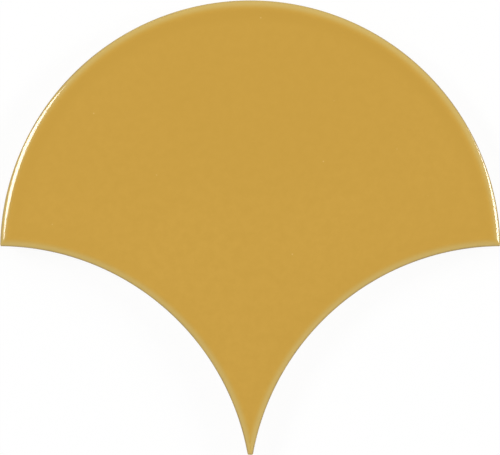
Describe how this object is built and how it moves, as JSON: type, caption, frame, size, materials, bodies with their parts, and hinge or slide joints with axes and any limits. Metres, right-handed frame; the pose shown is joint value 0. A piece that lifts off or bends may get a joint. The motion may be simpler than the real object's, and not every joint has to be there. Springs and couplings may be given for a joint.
{
  "type": "fish scale tile",
  "caption": "Glazed ceramic wall tile shaped like a fish scale: a round head, hollow flanks that seat the next row's heads, a blunt tail and a ribbed back for the adhesive.",
  "frame": {"origin": "the centre of the round head, on the plane of the back", "axes": "+Z points out of the glazed face, the tail points along -Y, and +X runs across the tile from side tip to side tip"},
  "size_m": [0.12, 0.1089, 0.009],
  "materials": {
    "mustard_glaze": "gloss"
  },
  "bodies": {
    "root": {"fish_scale_tile": "mustard_glaze"}
  },
  "joints": []
}
